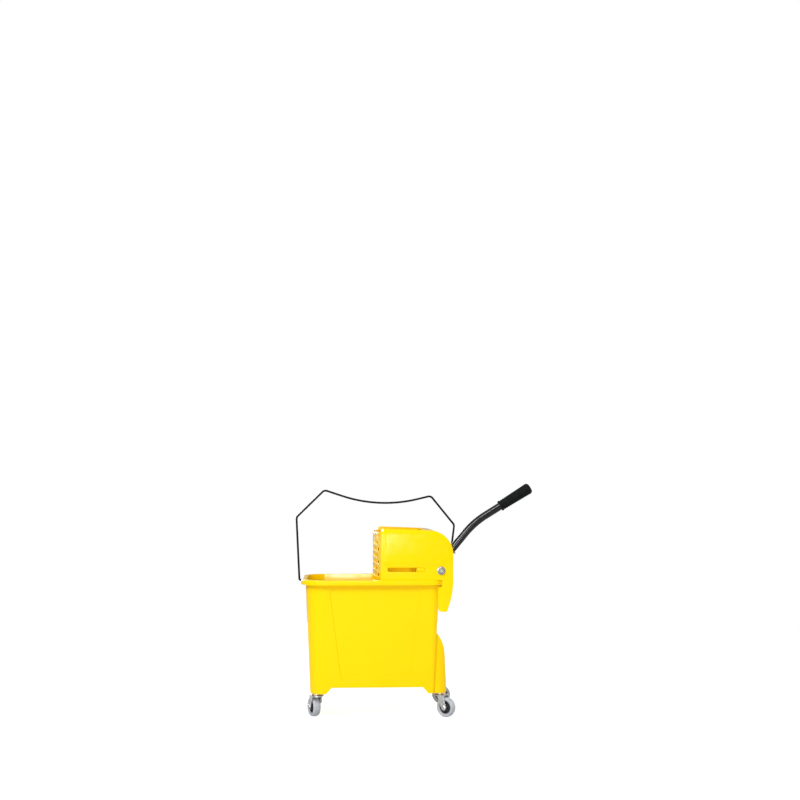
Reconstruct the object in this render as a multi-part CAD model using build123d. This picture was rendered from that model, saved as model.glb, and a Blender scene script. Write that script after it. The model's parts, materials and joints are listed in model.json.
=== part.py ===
"""Mop bucket with a lever wringer, on four swivel casters.

Millimetres. The origin is on the floor, under the tub and between the four casters.
+X points to the lever end, +Y to the far long side, +Z up.
"""
import math
import os

from build123d import *

# Bucket tub
RIM_LEFT, RIM_RIGHT, RIM_HALF = -201.0, 174.0, 135.0
RIM_TOP, RIM_BAND, RIM_ROLL = 356.0, 13.0, 4.0
RIM_CORNERS = (60.0, 32.0)
WALL = 3.0
MOUTH_LEFT, MOUTH_RIGHT, MOUTH_HALF = -190.0, 163.0, 124.0
MOUTH_CORNERS, TAPER = (50.0, 21.0), 2.8
FOOT_UNDER, FLOOR_UNDER = 62.0, 78.0
ARCH_HALF_X, ARCH_HALF_Y, ARCH_SLOPE = 134.0, 58.0, 15.0
POD_BACK, POD_RIGHT, POD_HALF, POD_CORNER = 60.0, 183.0, 104.0, 30.0
POD_TOP, POD_MEET_X, POD_BOW = 224.0, 150.0, (170.0, 195.0)
POD_LEAN, POD_SHOULDER_Z = 5.0, 160.0
PANEL_DEPTH, PANEL_SHIFT, PANEL_CORNER = 1.4, 8.0, 14.0
PANEL_TOP_HALF, PANEL_BASE_HALF = 121.0, 89.0
PANEL_TOP, PANEL_BASE = 334.0, 96.0

# Bail handle
WIRE_R = 2.75
BAIL_Y, BAIL_Z, BAIL_LEAN = 22.0, 347.0, 2.5
BAIL_LEFT, BAIL_RIGHT = -210.0, 197.0
LUG_END, LUG_R = 193.0, 8.0
HOOK_END, CLIP_GAP, CLIP_WALL = 5.0, 0.5, 2.0
KNEE_LEFT, KNEE_RIGHT = (-219.0, 517.5), (215.0, 496.5)
CROWN_LEFT, CROWN_RIGHT = (-143.0, 592.0), (150.0, 576.0)
SAG, SAG_R, KINK_R, HOOK_R = (8.0, 542.0), 380.0, 12.0, 3.2

# Wringer housing
CHEEK_IN, CHEEK_OUT = 126.5, 130.0
FRONT_X, REAR_X, TOP_Z, LIP_Z = 8.0, 198.0, 485.0, 490.0
HOOD_R = 62.0
CHEEK_CORNER, HOOD_EDGE_Z, ROOF_LENGTH = 7.0, 445.0, 12.0
WING_X, WING_ROOT_X, WING_SHOULDER = 158.0, 168.0, 18.0
WING_TIP_X, WING_TIP_Z, WING_TOE_R = 181.0, 274.0, 8.0
WING_HEEL, WING_BOW, WING_TURN = (184.0, 283.0), (192.5, 312.0), 8.0
PILLOW_INSET, PILLOW_LIFT, PILLOW_EDGE, PILLOW_CORNER, PILLOW_LOW = 2.0, 2.5, 12.0, 15.0, 9.0
SLOT_X0, SLOT_X1, SLOT_Z, SLOT_H = 25.0, 124.0, 383.0, 11.0
SKIRT_OUT, SKIRT_END = 117.0, 124.0
LEDGE_INSET, SKIRT_INSET = 4.0, 3.0
DRAIN_Z, DRAIN_SLOT_X, DRAIN_SLOT_HALF = 338.0, (26.0, 108.0), 4.0
DRAIN_SLOT_Y = (-97.0, -24.0, 0.0, 24.0, 97.0)
PIN_WAY_X, PIN_WAY_HALF = 38.0, 17.0
RAIL_INSET, RAIL_HEIGHT = 3.0, 5.0
GRILLE_BOW, GRILLE_WALL, GRILLE_TOP = 17.5, 3.0, 480.0
GRILLE_LIP, GRILLE_LIP_OUT = 7.0, 1.5
HOLE_ROWS, HOLE_PITCH_Z, HOLE_Z0 = 7, 16.5, 352.5
HOLE_PITCH_Y, HOLE_WIDTH, HOLE_HEIGHT = 32.5, 22.0, 8.0

# Lever and press
PIVOT_X, PIVOT_Z = 165.7, 380.5
LEVER_SWING = 50.0
PRESS_TRAVEL = 70.0
PIN_X, PIN_Z, PIN_R = 143.0, 338.0, 5.0
RUN_GAP = 0.4
TUBE_R, TUBE_WALL, TUBE_HALF = 11.0, 2.0, 124.0
BUSH_LENGTH, BUSH_FLANGE, BUSH_RIM = 20.0, 2.0, 2.0
CAM_Y, CAM_WALL, CAM_RIM, CAM_HUB, CAM_RELIEF, TRACK_ARCS = 57.0, 6.0, 6.0, 5.0, 7.0, 5
ARM_Y, ARM_WALL = 66.0, 8.0
PLATE_X, PLATE_WALL = 101.0, 5.0
PLATE_HALF, PLATE_LOW_HALF = 123.0, 111.0
PLATE_LOW, PLATE_NOTCH, PLATE_TOP = 345.0, 362.0, 470.0
FLANGE_DEPTH, FLANGE_WALL = 12.0, 4.0
RIB_PAIRS, RIB_PITCH, RIB_WIDTH, RIB_LIFT, RIB_DRAFT, RIB_END = 5, 20.0, 6.0, 5.0, 12.0, 8.0
ARM_FOOT, ARM_EYE = (6.0, 54.0), 4.5
RUNNER_LENGTH, RUNNER_STOP, CARRIER_WALL, CARRIER_HALF = 20.0, 0.5, 12.0, 10.0
PIN_OUT, PIN_HEAD, PIN_HEAD_WALL = 2.0, 2.5, 3.0
LEVER_R, LEVER_WALL, LEVER_FOOT = 10.4, 1.5, 14.0
BEND_X, BEND_Z, BEND_R = 268.0, 502.6, 230.0
TIP_X, TIP_Z = 419.8, 596.3
GRIP_LENGTH, GRIP_CAP, GRIP_COLLAR, GRIP_NECK, GRIP_SWELL, GRIP_ROUND = 98.0, 5.0, 5.0, 8.0, 12.0, 4.0
GRIP_COLLAR_R, GRIP_WAIST_R, GRIP_BELLY_R, GRIP_END_R, GRIP_TIP_R = 14.6, 13.8, 15.2, 15.8, 10.6
SOCKET_R, SOCKET_LENGTH = 13.5, 54.0

# Casters
SWIVEL_LEFT, SWIVEL_RIGHT, SWIVEL_Y = -158.0, 166.0, 88.0
WHEEL_R, WHEEL_WIDTH, TRAIL = 25.0, 21.0, 18.0
CORE_R, WEB_HALF, BOSS_R = 16.0, 6.0, 7.5
TRAIL_ANGLE = {"fl": 114.0, "fr": -37.0, "rl": 92.0, "rr": 8.0}
RACE_R, RACE_UNDER = 14.5, 57.0
CROWN_UNDER, CROWN_TOP = 53.5, 56.5
KINGPIN_R, KINGPIN_HEAD_R, KINGPIN_END, HEAD_GAP = 4.0, 7.0, 2.5, 0.4
STEM_R, STEM_REACH, RACE_DISH = 5.5, 12.0, 2.5
LEG_GAP, LEG_WALL, LEG_BACK, EYE_R = 1.0, 2.0, -2.0, 7.0
AXLE_R, AXLE_HEAD_R, AXLE_HEAD, AXLE_NUT = 4.0, 6.0, 2.5, 3.5
TREAD_EDGE, TREAD_DROP = 5.0, 4.0

# Fasteners and fits
BOLT_R, BOLT_SHANK, BOLT_HEAD_R, BOLT_HEAD = 6.0, 26.0, 8.5, 5.5
WASHER_R, WASHER_WALL = 11.0, 2.0
LEVER_BOLT_R, LEVER_NUT_R, LEVER_NUT_WALL = 4.0, 8.0, 6.0
LEVER_HEAD_R, LEVER_HEAD_WALL, THREAD_OUT = 6.4, 2.5, 2.0
BOLT_REACH, SEAT_Y, THROUGH = 38.0, 12.5, 20.0
RUN_FIT = 0.05

PIVOT = Vector(PIVOT_X, 0, PIVOT_Z)
GRILLE_R = (CHEEK_IN**2 + GRILLE_BOW**2) / (2 * GRILLE_BOW)
GRILLE_X = FRONT_X - GRILLE_BOW + GRILLE_R
SIDES = {"near": -1, "far": 1}


def plan(x0, x1, half, r_left, r_right, z):
    """Level rounded outline, with one corner radius at each end."""
    outline = Pos((x0 + x1) / 2, 0) * Rectangle(x1 - x0, 2 * half)
    ends = outline.vertices().sort_by(Axis.X)
    outline = fillet(ends[:2], r_left)
    outline = fillet(outline.vertices().sort_by(Axis.X)[-2:], r_right)
    return Pos(0, 0, z) * outline


def side_slab(sketch, y0, y1):
    """Solid from an outline drawn in X and Z, between two Y stations."""
    return Pos(0, y1, 0) * extrude(Plane.XZ * sketch, y1 - y0)


def box(x0, x1, y0, y1, z0, z1):
    return Pos((x0 + x1) / 2, (y0 + y1) / 2, (z0 + z1) / 2) * Box(x1 - x0, y1 - y0, z1 - z0)


def rod(start, end, radius):
    """Round bar between two points."""
    start, end = Vector(*start), Vector(*end)
    return Plane(start, z_dir=end - start) * Cylinder(
        radius, (end - start).length, align=(Align.CENTER, Align.CENTER, Align.MIN)
    )


def hexagon_bar(start, end, radius):
    start, end = Vector(*start), Vector(*end)
    return extrude(Plane(start, z_dir=end - start) * RegularPolygon(radius, 6), (end - start).length)


def bent_rod(points, bends, radius):
    """Round bar of straight runs and tangent bends, one bend radius for each inner point."""
    points = [Vector(*p) for p in points]
    runs = []
    start = points[0]
    for before, corner, after, bend in zip(points, points[1:], points[2:], bends):
        into = (corner - before).normalized()
        away = (after - corner).normalized()
        turn = into.get_angle(away)
        reach = bend * math.tan(math.radians(turn) / 2)
        begin = corner - into * reach
        normal = into.cross(away).normalized()
        hub = Axis(begin + normal.cross(into) * bend, normal)
        runs.append(rod(start, begin, radius))
        runs.append(revolve(Plane(begin, z_dir=into) * Circle(radius), hub, turn))
        start = corner + away * reach
    runs.append(rod(start, points[-1], radius))
    return Part() + runs


# Bucket tub


def tub_shape(inset, z0):
    """Tapered body from the mouth down to a height, drawn in from the outer wall by an inset."""
    left, right = (corner - inset for corner in MOUTH_CORNERS)
    mouth = plan(MOUTH_LEFT + inset, MOUTH_RIGHT - inset, MOUTH_HALF - inset, left, right, RIM_TOP)
    return extrude(mouth, RIM_TOP - z0, dir=(0, 0, -1), taper=TAPER)


def rim_plan(inset):
    left, right = (corner - inset for corner in RIM_CORNERS)
    return plan(RIM_LEFT + inset, RIM_RIGHT - inset, RIM_HALF - inset, left, right, RIM_TOP - RIM_BAND)


def foot_pod(inset):
    """Stepped-out lower end that carries the casters under the lever."""
    shoulder = (POD_RIGHT - POD_LEAN - inset, POD_SHOULDER_Z)
    top = POD_TOP - inset
    lower = (POD_RIGHT - inset, FOOT_UNDER)
    edge = Polyline((POD_BACK, top), (POD_BACK, FOOT_UNDER), lower, shoulder)
    middle = (POD_BOW[0] - inset * 0.9, POD_BOW[1] - inset * 0.4)
    bow = ThreePointArc(shoulder, middle, (POD_MEET_X, top))
    close = Line((POD_MEET_X, top), (POD_BACK, top))
    profile = make_face(edge.edges() + bow.edges() + close.edges())
    slab = side_slab(profile, -MOUTH_HALF, MOUTH_HALF)
    corner = POD_CORNER - inset
    outline = plan(POD_BACK, POD_RIGHT - inset, POD_HALF - inset, corner / 2, corner, FOOT_UNDER)
    return slab & extrude(outline, POD_TOP)


def wall_panel(inset, depth):
    """Shallow slab over the tapered panel of the near long wall."""
    lean = math.tan(math.radians(TAPER))
    centre = (MOUTH_LEFT + MOUTH_RIGHT) / 2 + PANEL_SHIFT
    face_y = MOUTH_HALF - lean * (RIM_TOP - PANEL_BASE) - inset
    face = Plane((centre, -face_y, PANEL_BASE), x_dir=(1, 0, 0), z_dir=(0, -1, -lean))
    height = (PANEL_TOP - PANEL_BASE) * math.hypot(1, lean)
    corners = [
        (-PANEL_BASE_HALF, 0),
        (PANEL_BASE_HALF, 0),
        (PANEL_TOP_HALF, height),
        (-PANEL_TOP_HALF, height),
    ]
    outline = make_face(Polyline(*corners, close=True).edges())
    outline = fillet(outline.vertices(), PANEL_CORNER)
    return extrude(face * outline, -depth) + extrude(face * outline, 0.2)


def both_sides(solid):
    return solid + mirror(solid, Plane.XZ)


def bucket_tub():
    body = tub_shape(0, FOOT_UNDER) + foot_pod(0)
    body -= both_sides(wall_panel(0, PANEL_DEPTH))
    rise = FLOOR_UNDER - FOOT_UNDER
    for half, turn in ((ARCH_HALF_X, 0), (ARCH_HALF_Y, 90)):
        low = [(-half, FOOT_UNDER - 1), (half, FOOT_UNDER - 1)]
        high = [(half - ARCH_SLOPE, FOOT_UNDER + rise), (ARCH_SLOPE - half, FOOT_UNDER + rise)]
        arch = make_face(Polyline(*low, *high, close=True).edges())
        body -= Rot(0, 0, turn) * side_slab(arch, 2 * RIM_LEFT, -2 * RIM_LEFT)

    rim = extrude(rim_plan(0), RIM_BAND)
    rim = fillet(rim.edges().group_by(Axis.Z)[-1], RIM_ROLL)
    body += rim - extrude(rim_plan(WALL), RIM_BAND - WALL)

    floor_top = FLOOR_UNDER + WALL
    cavity = tub_shape(WALL, floor_top)
    cavity -= both_sides(wall_panel(WALL, PANEL_DEPTH))
    pod_cavity = foot_pod(WALL) & box(POD_BACK, POD_RIGHT, -RIM_HALF, RIM_HALF, floor_top, POD_TOP)
    body -= cavity + pod_cavity

    ear_left = rod((RIM_LEFT, BAIL_Y, BAIL_Z), (RIM_LEFT + WALL, BAIL_Y, BAIL_Z), LUG_R)
    lug = rod((RIM_RIGHT - WALL, BAIL_Y, BAIL_Z), (LUG_END, BAIL_Y, BAIL_Z), LUG_R)
    lug += box(RIM_RIGHT - WALL, LUG_END, BAIL_Y - LUG_R, BAIL_Y + LUG_R, BAIL_Z, RIM_TOP - WALL)
    body += ear_left + lug
    hole_r = WIRE_R + RUN_FIT
    body -= rod((RIM_LEFT - 1, BAIL_Y, BAIL_Z), (RIM_LEFT + WALL + 1, BAIL_Y, BAIL_Z), hole_r)
    body -= rod((RIM_RIGHT - WALL - 1, BAIL_Y, BAIL_Z), (LUG_END + 1, BAIL_Y, BAIL_Z), hole_r)
    for x in (SWIVEL_LEFT, SWIVEL_RIGHT):
        for y in (-SWIVEL_Y, SWIVEL_Y):
            body -= rod((x, y, FOOT_UNDER - 1), (x, y, FOOT_UNDER + STEM_REACH), STEM_R)
    return body


# Bail handle


def bail_lean(solid):
    pivot = Pos(0, BAIL_Y, BAIL_Z)
    return pivot * Rot(BAIL_LEAN, 0, 0) * pivot.inverse() * solid


def bail_wire():
    """Wire from one clip to the other; it sits a little askew, higher at the left."""
    left_end = [(RIM_LEFT + WALL + HOOK_END, BAIL_Z), (BAIL_LEFT, BAIL_Z)]
    right_end = [(BAIL_RIGHT, BAIL_Z), (RIM_RIGHT - WALL - HOOK_END, BAIL_Z)]
    route = [*left_end, KNEE_LEFT, CROWN_LEFT, SAG, CROWN_RIGHT, KNEE_RIGHT, *right_end]
    bends = [HOOK_R, KINK_R, KINK_R, SAG_R, KINK_R, KINK_R, HOOK_R]
    return bail_lean(bent_rod([(x, BAIL_Y, z) for x, z in route], bends, WIRE_R))


def bail_clips():
    """Push-on discs that hold the two wire ends in their holes."""
    clips = []
    for wall, turn in ((RIM_LEFT + WALL, 1), (RIM_RIGHT - WALL, -1)):
        start = (wall + CLIP_GAP * turn, BAIL_Y, BAIL_Z)
        end = (wall + (CLIP_GAP + CLIP_WALL) * turn, BAIL_Y, BAIL_Z)
        clips.append(rod(start, end, 2 * WIRE_R) - rod(start, end, WIRE_R))
    return Compound(children=clips)


# Wringer housing


def cheek_outline(inset, low):
    """Cheek edge from the front post over the hood, closed along a level line."""
    left, right, top, lip = FRONT_X + inset, REAR_X - inset, TOP_Z - inset, LIP_Z - inset
    hood_x, hood_z = REAR_X - HOOD_R, TOP_Z - HOOD_R
    radius = HOOD_R - inset
    knee = radius * math.sqrt(0.5)
    edges = Polyline((right, hood_z), (right, low), (left, low), (left, lip), (hood_x, top)).edges()
    edges += ThreePointArc((hood_x, top), (hood_x + knee, hood_z + knee), (right, hood_z)).edges()
    return make_face(edges)


def wing_outline():
    """Hook that hangs from the cheek past the end of the rim and reaches back under it."""
    hem = RIM_TOP - WING_SHOULDER
    front = Polyline(
        (REAR_X, RIM_TOP), (WING_ROOT_X, RIM_TOP), (WING_ROOT_X, hem), (WING_X, hem), (WING_X, WING_TIP_Z),
        (WING_TIP_X, WING_TIP_Z), WING_HEEL,
    )
    rear = ThreePointArc(WING_HEEL, WING_BOW, (REAR_X, RIM_TOP))
    wing = make_face(front.edges() + rear.edges())
    toe = wing.vertices().group_by(Axis.X)[0].sort_by(Axis.Y)[:1]
    return fillet(toe, WING_TOE_R)


def wing_plate():
    """The hook as a plate, with its front edge turned in under the rim."""
    slab = side_slab(wing_outline(), -CHEEK_OUT, WING_TURN - CHEEK_IN)
    section = Polyline(
        (REAR_X, -CHEEK_OUT), (WING_ROOT_X, -CHEEK_OUT), (WING_X, WING_TURN - CHEEK_OUT),
        (WING_X, WING_TURN - CHEEK_IN), (WING_ROOT_X, -CHEEK_IN), (REAR_X, -CHEEK_IN), close=True,
    )
    return slab & extrude(Pos(0, 0, WING_TIP_Z) * make_face(section.edges()), RIM_TOP - WING_TIP_Z)


def wringer_cheek():
    outline = cheek_outline(0, RIM_TOP)
    outline = fillet(outline.vertices().group_by(Axis.X)[0].sort_by(Axis.Y)[-1:], CHEEK_CORNER)
    cheek = side_slab(outline, -CHEEK_OUT, -CHEEK_IN) + wing_plate()
    pillow = cheek_outline(PILLOW_INSET, SLOT_Z + PILLOW_LOW)
    pillow = fillet(pillow.vertices().group_by(Axis.X)[0], PILLOW_CORNER)
    slope = math.degrees(math.atan(PILLOW_EDGE / PILLOW_LIFT))
    cheek += extrude(Plane.XZ.offset(CHEEK_OUT) * pillow, PILLOW_LIFT, taper=slope)
    slot = Pos((SLOT_X0 + SLOT_X1) / 2, SLOT_Z) * SlotOverall(SLOT_X1 - SLOT_X0, SLOT_H)
    cheek -= side_slab(slot, -CHEEK_OUT - 1, -CHEEK_IN + 1)
    cheek -= rod((PIVOT_X, -CHEEK_OUT - 1, PIVOT_Z), (PIVOT_X, -CHEEK_IN + 1, PIVOT_Z), BOLT_R)
    skirt_in = SKIRT_OUT - WALL
    cheek += box(FRONT_X + LEDGE_INSET, WING_X, -CHEEK_IN, -skirt_in, RIM_TOP, RIM_TOP + WALL)
    cheek += box(FRONT_X + SKIRT_INSET, SKIRT_END, -SKIRT_OUT, -skirt_in, DRAIN_Z, RIM_TOP)
    return cheek


def wringer_housing():
    housing = both_sides(wringer_cheek())
    drain = box(FRONT_X - GRILLE_BOW, SKIRT_END - 2, -SKIRT_OUT + 1, SKIRT_OUT - 1, DRAIN_Z, DRAIN_Z + WALL)
    drain &= rod((GRILLE_X, 0, DRAIN_Z), (GRILLE_X, 0, RIM_TOP), GRILLE_R - GRILLE_WALL)
    under, over = DRAIN_Z - 1, DRAIN_Z + WALL + 1
    for y in DRAIN_SLOT_Y:
        drain -= box(*DRAIN_SLOT_X, y - DRAIN_SLOT_HALF, y + DRAIN_SLOT_HALF, under, over)
    for side in SIDES.values():
        way = (CAM_Y + ARM_Y + ARM_WALL) / 2 * side
        drain -= box(PIN_WAY_X, SKIRT_END, way - PIN_WAY_HALF, way + PIN_WAY_HALF, under, over)
    hood_x, hood_z = REAR_X - HOOD_R, TOP_Z - HOOD_R
    hood = rod((hood_x, -CHEEK_IN, hood_z), (hood_x, CHEEK_IN, hood_z), HOOD_R)
    hood -= rod((hood_x, -CHEEK_IN, hood_z), (hood_x, CHEEK_IN, hood_z), HOOD_R - WALL)
    hood &= box(hood_x, REAR_X, -CHEEK_IN, CHEEK_IN, HOOD_EDGE_Z, TOP_Z)
    hood += box(hood_x - ROOF_LENGTH, hood_x, -CHEEK_IN, CHEEK_IN, TOP_Z - WALL, TOP_Z)
    rail_x = WING_X + 2, RIM_RIGHT - RAIL_INSET
    rail = box(*rail_x, -CHEEK_IN, CHEEK_IN, RIM_TOP, RIM_TOP + RAIL_HEIGHT)
    return housing + drain + hood + rail


def strainer_grille():
    """Bowed wall between the cheeks, with staggered drain holes."""

    def band(out, depth, z0, z1, half):
        ring = Pos(GRILLE_X, 0) * (Circle(GRILLE_R + out) - Circle(GRILLE_R + out - depth))
        ring &= Rectangle(2 * GRILLE_BOW, 2 * half)
        return extrude(Pos(0, 0, z0) * ring, z1 - z0)

    grille = band(0, GRILLE_WALL, RIM_TOP, GRILLE_TOP - 1, CHEEK_IN)
    grille += band(0, GRILLE_WALL, DRAIN_Z, RIM_TOP, SKIRT_OUT - WALL)
    lip_wall = GRILLE_WALL + 2 * GRILLE_LIP_OUT
    grille += band(GRILLE_LIP_OUT, lip_wall, GRILLE_TOP - GRILLE_LIP, GRILLE_TOP, CHEEK_IN - 2)
    cutters = []
    for row in range(HOLE_ROWS):
        count = 6 + row % 2
        for column in range(count):
            y = (column - (count - 1) / 2) * HOLE_PITCH_Y
            z = HOLE_Z0 + row * HOLE_PITCH_Z
            cutters.append(Pos(0, y, z) * Box(2 * GRILLE_BOW, HOLE_WIDTH, HOLE_HEIGHT))
    return grille - cutters


def pivot_bolt(side):
    """Shouldered bolt with a washer, which the pivot tube turns on."""
    stations = [reach * side for reach in (-BOLT_SHANK, 0, WASHER_WALL, WASHER_WALL + BOLT_HEAD)]
    tip, face, seat, top = ((PIVOT_X, CHEEK_OUT * side + y, PIVOT_Z) for y in stations)
    bolt = rod(tip, face, BOLT_R) + rod(face, seat, WASHER_R)
    return bolt + hexagon_bar(seat, top, BOLT_HEAD_R)


# Press plate


def press_plate():
    outline = Pos(0, (PLATE_NOTCH + PLATE_TOP) / 2) * Rectangle(2 * PLATE_HALF, PLATE_TOP - PLATE_NOTCH)
    outline += Pos(0, (PLATE_LOW + PLATE_NOTCH) / 2) * Rectangle(2 * PLATE_LOW_HALF, PLATE_NOTCH - PLATE_LOW)
    back = PLATE_X + PLATE_WALL
    plate = extrude(Plane.YZ.offset(PLATE_X) * outline, PLATE_WALL)
    plate += box(back, back + FLANGE_DEPTH, -PLATE_HALF, PLATE_HALF, PLATE_TOP - FLANGE_WALL, PLATE_TOP)
    rib = Rectangle(RIB_WIDTH, PLATE_TOP - PLATE_LOW - 2 * RIB_END)
    for column in range(-RIB_PAIRS, RIB_PAIRS + 1):
        base = Plane.YZ.offset(PLATE_X - RIB_LIFT) * Pos(column * RIB_PITCH, (PLATE_LOW + PLATE_TOP) / 2)
        plate += extrude(base * rib, RIB_LIFT, taper=RIB_DRAFT)
    foot = Line(*((back, PLATE_LOW + height) for height in ARM_FOOT))
    arm = make_hull(foot.edges() + (Pos(PIN_X, PIN_Z) * Circle(PIN_R + ARM_EYE)).edges())
    arm -= Pos(PIN_X, PIN_Z) * Circle(PIN_R)
    return plate + both_sides(side_slab(arm, ARM_Y, ARM_Y + ARM_WALL))


def guide_block(side):
    """Runner of the press plate, in the long slot of a cheek."""
    end = SLOT_X1 - RUNNER_STOP
    runner = Pos(end - RUNNER_LENGTH / 2, SLOT_Z) * SlotOverall(RUNNER_LENGTH, SLOT_H - 2 * RUN_GAP)
    block = side_slab(runner, *sorted((PLATE_HALF * side, CHEEK_OUT * side)))
    carrier_y = sorted(((PLATE_HALF - CARRIER_WALL) * side, PLATE_HALF * side))
    carrier_x = PLATE_X + PLATE_WALL, end
    return block + box(*carrier_x, *carrier_y, SLOT_Z - CARRIER_HALF, SLOT_Z + CARRIER_HALF)


def cam_pin(side):
    head, tip = (CAM_Y - PIN_OUT) * side, (ARM_Y + ARM_WALL) * side
    pin = rod((PIN_X, head, PIN_Z), (PIN_X, tip, PIN_Z), PIN_R)
    return pin + rod((PIN_X, head - PIN_HEAD_WALL * side, PIN_Z), (PIN_X, head, PIN_Z), PIN_R + PIN_HEAD)


# Lever


def lever_point(reach, y=0.0):
    run = Vector(BEND_X - PIVOT_X, 0, BEND_Z - PIVOT_Z).normalized()
    return PIVOT + run * reach + Vector(0, y, 0)


def pivot_tube():
    tube = rod((PIVOT_X, -TUBE_HALF, PIVOT_Z), (PIVOT_X, TUBE_HALF, PIVOT_Z), TUBE_R)
    return tube - rod((PIVOT_X, -CHEEK_IN, PIVOT_Z), (PIVOT_X, CHEEK_IN, PIVOT_Z), TUBE_R - TUBE_WALL)


def pivot_bush(side):
    """Flanged bush in one end of the pivot tube, running on the bolt."""
    end = TUBE_HALF * side
    bush = rod((PIVOT_X, end - BUSH_LENGTH * side, PIVOT_Z), (PIVOT_X, end, PIVOT_Z), TUBE_R - TUBE_WALL)
    bush += rod((PIVOT_X, end, PIVOT_Z), (PIVOT_X, end + BUSH_FLANGE * side, PIVOT_Z), TUBE_R + BUSH_RIM)
    return bush - rod((PIVOT_X, 0, PIVOT_Z), (PIVOT_X, CHEEK_IN * side, PIVOT_Z), BOLT_R + RUN_FIT)


def cam_track():
    """Path of the cam pin as the turning plate sees it: equal travel for equal turn."""

    def seen(part):
        dx = PIN_X - PRESS_TRAVEL * part - PIVOT_X
        dz = PIN_Z - PIVOT_Z
        turn = math.radians(LEVER_SWING * part)
        x = dx * math.cos(turn) - dz * math.sin(turn)
        z = dx * math.sin(turn) + dz * math.cos(turn)
        return Vector(PIVOT_X + x, PIVOT_Z + z)

    heading = seen(0.001) - seen(-0.001)
    arcs = []
    for step in range(TRACK_ARCS):
        arc = TangentArc(seen(step / TRACK_ARCS), seen((step + 1) / TRACK_ARCS), tangent=heading)
        heading = arc % 1
        arcs.append(arc.edge())
    return Wire(arcs)


def cam_plate(side):
    track = cam_track()
    slot_r = PIN_R + RUN_GAP
    rim_r = slot_r + CAM_RIM
    hub = Pos(PIVOT_X, PIVOT_Z) * Circle(TUBE_R + CAM_HUB)
    start, middle = track @ 0, track @ 0.5
    root = Pos(start.X, start.Y) * Circle(rim_r)
    belly = Pos(middle.X, middle.Y) * Circle(rim_r)
    web = make_hull(hub.edges() + root.edges() + belly.edges())
    y0, y1 = sorted((CAM_Y * side, (CAM_Y + CAM_WALL) * side))
    plate = side_slab(web + SlotArc(track, 2 * rim_r), y0, y1)
    plate -= side_slab(SlotArc(track, 2 * slot_r), y0 - 1, y1 + 1)
    plate -= rod((PIVOT_X, y0 - 1, PIVOT_Z), (PIVOT_X, y1 + 1, PIVOT_Z), TUBE_R)
    return plate - box(WING_X - 2, REAR_X, y0 - 1, y1 + 1, WING_TIP_Z, RIM_TOP + CAM_RELIEF)


def lever_socket():
    sleeve = rod(PIVOT, lever_point(SOCKET_LENGTH), SOCKET_R)
    sleeve -= rod((PIVOT_X, -THROUGH, PIVOT_Z), (PIVOT_X, THROUGH, PIVOT_Z), TUBE_R)
    sleeve -= rod(lever_point(LEVER_FOOT), lever_point(SOCKET_LENGTH + 1), LEVER_R)
    for side in SIDES.values():
        seat, out = lever_point(BOLT_REACH, SEAT_Y * side), lever_point(BOLT_REACH, THROUGH * side)
        sleeve -= rod(seat, out, LEVER_NUT_R)
    return sleeve - rod(lever_point(BOLT_REACH, -THROUGH), lever_point(BOLT_REACH, THROUGH), LEVER_BOLT_R)


def lever_tube():
    route = [lever_point(LEVER_FOOT), (BEND_X, 0, BEND_Z), (TIP_X, 0, TIP_Z)]
    tube = bent_rod(route, [BEND_R], LEVER_R) - bent_rod(route, [BEND_R], LEVER_R - LEVER_WALL)
    return tube - rod(lever_point(BOLT_REACH, -THROUGH), lever_point(BOLT_REACH, THROUGH), LEVER_BOLT_R)


def lever_bolt():
    """Cross bolt with a low head on the bail's side."""
    end = SEAT_Y + LEVER_NUT_WALL + THREAD_OUT
    bolt = rod(lever_point(BOLT_REACH, -end), lever_point(BOLT_REACH, SEAT_Y), LEVER_BOLT_R)
    seat, top = lever_point(BOLT_REACH, SEAT_Y), lever_point(BOLT_REACH, SEAT_Y + LEVER_HEAD_WALL)
    return bolt + rod(seat, top, LEVER_HEAD_R)


def lever_nut():
    start = lever_point(BOLT_REACH, -SEAT_Y - LEVER_NUT_WALL)
    end = lever_point(BOLT_REACH, -SEAT_Y)
    return hexagon_bar(start, end, LEVER_NUT_R - RUN_GAP) - rod(start, end, LEVER_BOLT_R)


def lever_grip():
    """Rubber sleeve that swells towards a rounded tip."""
    run = Vector(TIP_X - BEND_X, 0, TIP_Z - BEND_Z).normalized()
    mouth = Vector(TIP_X, 0, TIP_Z) - run * (GRIP_LENGTH - GRIP_CAP)
    frame = Plane(mouth, x_dir=(0, 1, 0), z_dir=run)
    end, cap = GRIP_LENGTH, GRIP_LENGTH - GRIP_CAP
    profile = Polyline(
        (0, end), (0, cap), (LEVER_R, cap), (LEVER_R, 0), (GRIP_COLLAR_R, 0), (GRIP_COLLAR_R, GRIP_COLLAR),
        (GRIP_WAIST_R, GRIP_NECK), (GRIP_BELLY_R, end / 2), (GRIP_END_R, end - GRIP_SWELL),
        (GRIP_END_R - 1, end - GRIP_ROUND), (GRIP_TIP_R, end), close=True,
    )
    return frame * revolve(Plane.XZ * make_face(profile.edges()), Axis.Z)


# Casters


def caster_frame(corner):
    """Place of one caster: its swivel axis on the floor, turned to its trail."""
    x = SWIVEL_RIGHT if corner[1] == "r" else SWIVEL_LEFT
    y = SWIVEL_Y if corner[0] == "r" else -SWIVEL_Y
    return Pos(x, y, 0) * Rot(0, 0, TRAIL_ANGLE[corner])


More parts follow.
